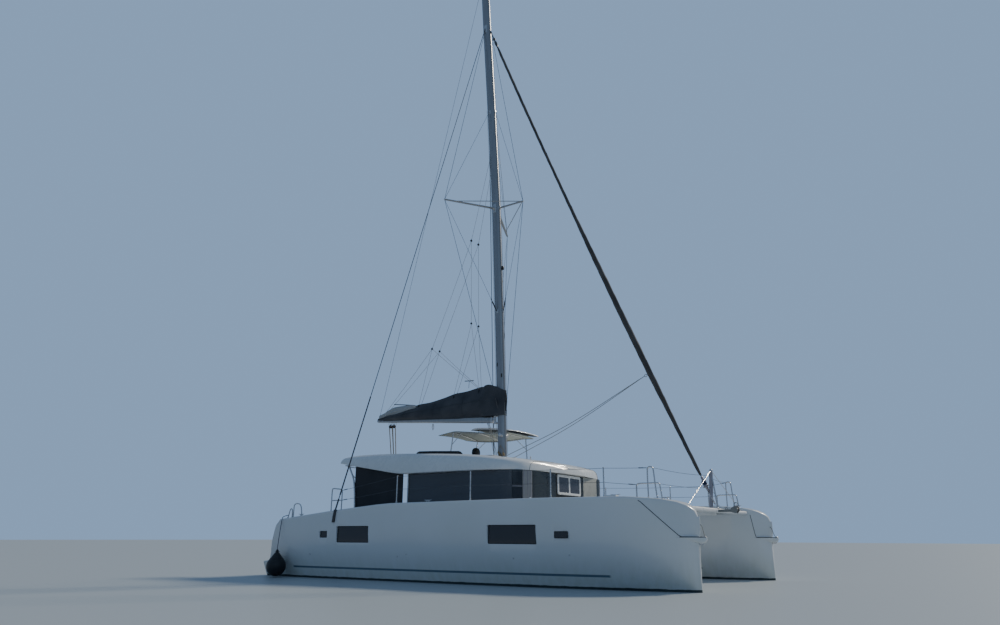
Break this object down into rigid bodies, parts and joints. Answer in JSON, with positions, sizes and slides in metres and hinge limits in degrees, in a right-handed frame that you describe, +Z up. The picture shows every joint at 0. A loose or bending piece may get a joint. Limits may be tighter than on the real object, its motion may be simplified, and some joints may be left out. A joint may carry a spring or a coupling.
{
  "type": "cruising sailing catamaran",
  "caption": "Twin-hulled cruising sailboat afloat, with a bagged mainsail on its boom, a furled headsail, working rudders, propellers, helm, saloon door and lids.",
  "frame": {"origin": "on the centreline, halfway between the bathing platforms' ends and the bow tips, at the waterline", "axes": "+X forward to the bows, +Y to port, +Z up"},
  "size_m": [12.8, 8.0555, 21.75],
  "materials": {
    "gelcoat": "white gelcoat, glossy with faint fairing waves",
    "antifouling": "matt dark blue-grey bottom paint",
    "glazing": "tinted acrylic, glossy",
    "alloy": "silver anodised, satin",
    "stainless": "polished stainless",
    "canvas": "near-black acrylic canvas with seams",
    "awning": "pale grey-green canvas",
    "curtain": "black open-weave sun mesh",
    "netting": "white knotted net",
    "cushion": "light grey outdoor cloth, piped",
    "wood": "oiled teak",
    "black_plastic": "moulded black plastic",
    "bronze": "cast bronze, dulled",
    "grey_paint": "grey drive-leg paint",
    "engine_iron": "painted iron block",
    "rubber": "black inflated vinyl, satin",
    "rope": "dark blue braided rope"
  },
  "bodies": {
    "root": {"hull_starboard": "gelcoat", "hull_port": "gelcoat", "keel_starboard": "antifouling", "keel_port": "antifouling", "bridgedeck": "gelcoat", "saloon_walls": "gelcoat", "aft_bulkhead": "gelcoat", "side_window_starboard": "glazing", "side_window_port": "glazing", "front_window_starboard": "glazing", "front_window_port": "glazing", "front_window_centre": "glazing", "aft_window": "glazing", "coachroof": "gelcoat", "roof_post_starboard": "stainless", "roof_post_port": "stainless", "side_curtain_starboard": "curtain", "side_curtain_port": "curtain", "bench_cushion": "cushion", "cockpit_table": "wood", "helm_station": "gelcoat", "helm_seat": "cushion", "instrument_pod": "black_plastic", "bimini_frame": "stainless", "bimini_top": "awning", "mast": "alloy", "spreaders": "alloy", "diamond_starboard": "stainless", "diamond_port": "stainless", "diamond_front": "stainless", "crossbeam": "alloy", "furled_jib": "canvas", "striker": "stainless", "centre_beam": "alloy", "trampoline_starboard": "netting", "trampoline_port": "netting", "shroud_starboard": "stainless", "shroud_port": "stainless", "guard_rail_starboard": "stainless", "guard_rail_port": "stainless", "stern_rail_starboard": "stainless", "stern_rail_port": "stainless", "saildrive_starboard": "grey_paint", "saildrive_port": "grey_paint", "engine_starboard": "engine_iron", "engine_port": "engine_iron", "fender": "rubber", "fender_line": "rope"},
    "boom": {"boom": "alloy", "sail_bag": "canvas"},
    "rudder_starboard": {"rudder_starboard": "antifouling"},
    "rudder_port": {"rudder_port": "antifouling"},
    "propeller_starboard": {"propeller_starboard": "bronze"},
    "propeller_port": {"propeller_port": "bronze"},
    "steering_wheel": {"steering_wheel": "stainless"},
    "saloon_door": {"saloon_door": "alloy"},
    "engine_hatch_starboard": {"engine_hatch_starboard": "gelcoat"},
    "engine_hatch_port": {"engine_hatch_port": "gelcoat"},
    "locker_lid_starboard": {"locker_lid_starboard": "gelcoat"},
    "locker_lid_port": {"locker_lid_port": "gelcoat"}
  },
  "joints": [
    {"name": "boom_swing", "type": "hinge", "parent": "root", "child": "boom", "pos_m": [-0.79, 0, 4.44], "axis": [0, 0, 1], "range_deg": [-45, 45]},
    {"name": "rudder_starboard_turn", "type": "hinge", "parent": "root", "child": "rudder_starboard", "pos_m": [-5.45, -2.89, -0.5], "axis": [0, 0, 1], "range_deg": [-35, 35]},
    {"name": "rudder_port_turn", "type": "hinge", "parent": "root", "child": "rudder_port", "pos_m": [-5.45, 2.89, -0.5], "axis": [0, 0, 1], "range_deg": [-35, 35]},
    {"name": "wheel_turn", "type": "hinge", "parent": "root", "child": "steering_wheel", "pos_m": [-2.49, 1.21, 3.13], "axis": [1, 0, 0], "range_deg": [-455, 455]},
    {"name": "propeller_starboard_spin", "type": "hinge", "parent": "root", "child": "propeller_starboard", "pos_m": [-4.8, -2.89, -0.82], "axis": [1, 0, 0], "continuous": true},
    {"name": "propeller_port_spin", "type": "hinge", "parent": "root", "child": "propeller_port", "pos_m": [-4.8, 2.89, -0.82], "axis": [1, 0, 0], "continuous": true},
    {"name": "door_slide", "type": "slide", "parent": "root", "child": "saloon_door", "axis": [0, -1, 0], "range_m": [0, 0.83]},
    {"name": "engine_hatch_starboard_lift", "type": "hinge", "parent": "root", "child": "engine_hatch_starboard", "pos_m": [-3.926, -3, 1.5], "axis": [0, 1, 0], "range_deg": [0, 80]},
    {"name": "engine_hatch_port_lift", "type": "hinge", "parent": "root", "child": "engine_hatch_port", "pos_m": [-3.926, 3, 1.5], "axis": [0, 1, 0], "range_deg": [0, 80]},
    {"name": "locker_lid_starboard_lift", "type": "hinge", "parent": "root", "child": "locker_lid_starboard", "pos_m": [2.056, -1.15, 1.86], "axis": [0, -1, 0], "range_deg": [0, 80]},
    {"name": "locker_lid_port_lift", "type": "hinge", "parent": "root", "child": "locker_lid_port", "pos_m": [2.056, 1.15, 1.86], "axis": [0, -1, 0], "range_deg": [0, 80]}
  ],
  "couplings": [
    {"joint": "rudder_port_turn", "follows": "rudder_starboard_turn", "ratio": 1},
    {"joint": "wheel_turn", "follows": "rudder_starboard_turn", "ratio": 13}
  ]
}
